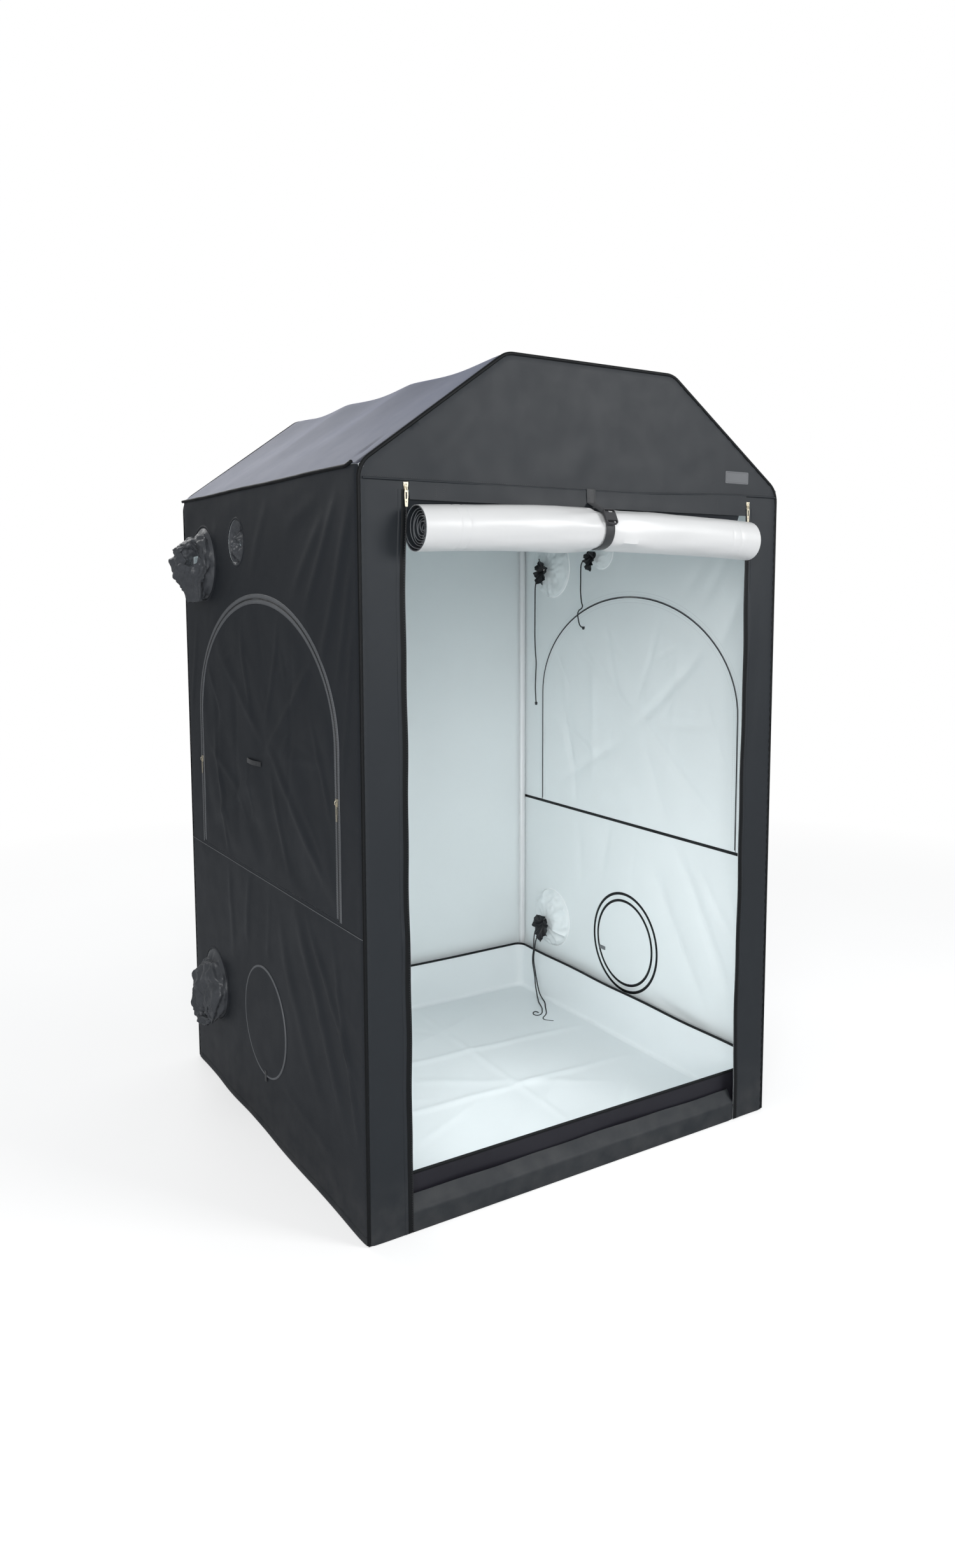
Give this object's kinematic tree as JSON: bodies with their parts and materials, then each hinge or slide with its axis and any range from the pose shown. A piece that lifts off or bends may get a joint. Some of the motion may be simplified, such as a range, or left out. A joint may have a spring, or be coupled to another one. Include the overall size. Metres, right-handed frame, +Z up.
{
  "type": "grow tent",
  "caption": "Indoor grow tent: black canvas on a tube frame with a pitched roof, its front door rolled up and strapped, with zipped side doors, vents, duct sleeves and a spill tray",
  "frame": {"origin": "middle of the footprint, on the ground sheet's underside", "axes": "+Z up, -Y out of the doorway, +X to the right seen from the front"},
  "size_m": [1.2953, 1.2882, 1.95],
  "materials": {
    "tube": "white coated, semi-gloss",
    "canvas": "black coated woven canvas outside, white reflective film inside",
    "lining": "white coated cloth, soft sheen",
    "zip_metal": "plated die-cast metal",
    "cord": "black braided cord",
    "webbing": "dark grey webbing",
    "buckle": "moulded plastic"
  },
  "bodies": {
    "tent": {"base_corner_front_left": "tube", "eave_corner_front_left": "tube", "leg_front_left": "tube", "base_corner_front_right": "tube", "eave_corner_front_right": "tube", "leg_front_right": "tube", "base_rail_front": "tube", "eave_rail_front": "tube", "gable_arch_front": "tube", "base_corner_back_left": "tube", "eave_corner_back_left": "tube", "leg_back_left": "tube", "base_corner_back_right": "tube", "eave_corner_back_right": "tube", "leg_back_right": "tube", "base_rail_back": "tube", "eave_rail_back": "tube", "gable_arch_back": "tube", "base_rail_left": "tube", "eave_rail_left": "tube", "ridge_rail_left": "tube", "base_rail_right": "tube", "eave_rail_right": "tube", "ridge_rail_right": "tube", "front_wall": "canvas", "back_wall": "canvas", "left_wall": "canvas", "right_wall": "canvas", "roof_cover": "canvas", "ground_sheet": "canvas", "duct_sleeve_upper_left": "canvas", "duct_sleeve_upper_right": "canvas", "duct_sleeve_small_left": "canvas", "duct_sleeve_small_right": "canvas", "duct_sleeve_lower_left": "canvas", "duct_sleeve_lower_right": "canvas", "spill_tray": "lining", "front_door_roll": "lining", "tie_cord_upper": "cord", "tie_cord_small": "cord", "tie_cord_lower": "cord", "tie_cord_lower_tail": "cord", "roll_strap": "webbing", "roll_buckle": "buckle"},
    "front_bar": {"hanging_bar_front": "tube"},
    "back_bar": {"hanging_bar_back": "tube"},
    "left_door": {"side_door_left": "canvas"},
    "left_outer_vent": {"vent_flap_outer_left": "canvas"},
    "left_inner_vent": {"vent_flap_inner_left": "lining"},
    "left_front_slider": {"left_zip_slider_front": "zip_metal"},
    "left_back_slider": {"left_zip_slider_back": "zip_metal"},
    "doorway_left_slider": {"front_zip_slider_left": "zip_metal"},
    "doorway_left_pull": {"front_zip_pull_left": "zip_metal"},
    "right_door": {"side_door_right": "canvas"},
    "right_outer_vent": {"vent_flap_outer_right": "canvas"},
    "right_inner_vent": {"vent_flap_inner_right": "lining"},
    "right_front_slider": {"right_zip_slider_front": "zip_metal"},
    "right_back_slider": {"right_zip_slider_back": "zip_metal"},
    "doorway_right_slider": {"front_zip_slider_right": "zip_metal"},
    "doorway_right_pull": {"front_zip_pull_right": "zip_metal"}
  },
  "joints": [
    {"name": "front_bar_slide", "type": "slide", "parent": "tent", "child": "front_bar", "axis": [0, 1, 0], "range_m": [-0.34, 0.14]},
    {"name": "back_bar_slide", "type": "slide", "parent": "tent", "child": "back_bar", "axis": [0, 1, 0], "range_m": [-0.18, 0.28]},
    {"name": "left_door_fold", "type": "hinge", "parent": "tent", "child": "left_door", "pos_m": [-0.6, 0, 0.7], "axis": [0, -1, 0], "range_deg": [0, 165]},
    {"name": "left_outer_vent_lift", "type": "hinge", "parent": "tent", "child": "left_outer_vent", "pos_m": [-0.6023, 0.01, 0.455], "axis": [0, -1, 0], "range_deg": [-160, 0]},
    {"name": "left_inner_vent_swing", "type": "hinge", "parent": "tent", "child": "left_inner_vent", "pos_m": [-0.5982, -0.135, 0.307], "axis": [0, 0, -1], "range_deg": [0, 100]},
    {"name": "left_front_zip_run", "type": "slide", "parent": "left_door", "child": "left_front_slider", "axis": [0, 0, 1], "range_m": [-0.19, 0.1]},
    {"name": "left_back_zip_run", "type": "slide", "parent": "left_door", "child": "left_back_slider", "axis": [0, 0, 1], "range_m": [-0.19, 0.1]},
    {"name": "doorway_left_zip_run", "type": "slide", "parent": "tent", "child": "doorway_left_slider", "axis": [0, 0, 1], "range_m": [-1.55, 0]},
    {"name": "doorway_left_pull_swing", "type": "hinge", "parent": "doorway_left_slider", "child": "doorway_left_pull", "pos_m": [-0.4915, -0.6048, 1.6465], "axis": [-1, 0, 0], "range_deg": [0, 160]},
    {"name": "right_door_fold", "type": "hinge", "parent": "tent", "child": "right_door", "pos_m": [0.6, 0, 0.7], "axis": [0, 1, 0], "range_deg": [0, 165]},
    {"name": "right_outer_vent_lift", "type": "hinge", "parent": "tent", "child": "right_outer_vent", "pos_m": [0.6023, 0.01, 0.455], "axis": [0, 1, 0], "range_deg": [-160, 0]},
    {"name": "right_inner_vent_swing", "type": "hinge", "parent": "tent", "child": "right_inner_vent", "pos_m": [0.5982, -0.135, 0.307], "axis": [0, 0, 1], "range_deg": [0, 100]},
    {"name": "right_front_zip_run", "type": "slide", "parent": "right_door", "child": "right_front_slider", "axis": [0, 0, 1], "range_m": [-0.19, 0.1]},
    {"name": "right_back_zip_run", "type": "slide", "parent": "right_door", "child": "right_back_slider", "axis": [0, 0, 1], "range_m": [-0.19, 0.1]},
    {"name": "doorway_right_zip_run", "type": "slide", "parent": "tent", "child": "doorway_right_slider", "axis": [0, 0, 1], "range_m": [-1.55, 0]},
    {"name": "doorway_right_pull_swing", "type": "hinge", "parent": "doorway_right_slider", "child": "doorway_right_pull", "pos_m": [0.4915, -0.6048, 1.6465], "axis": [-1, 0, 0], "range_deg": [0, 160]}
  ]
}
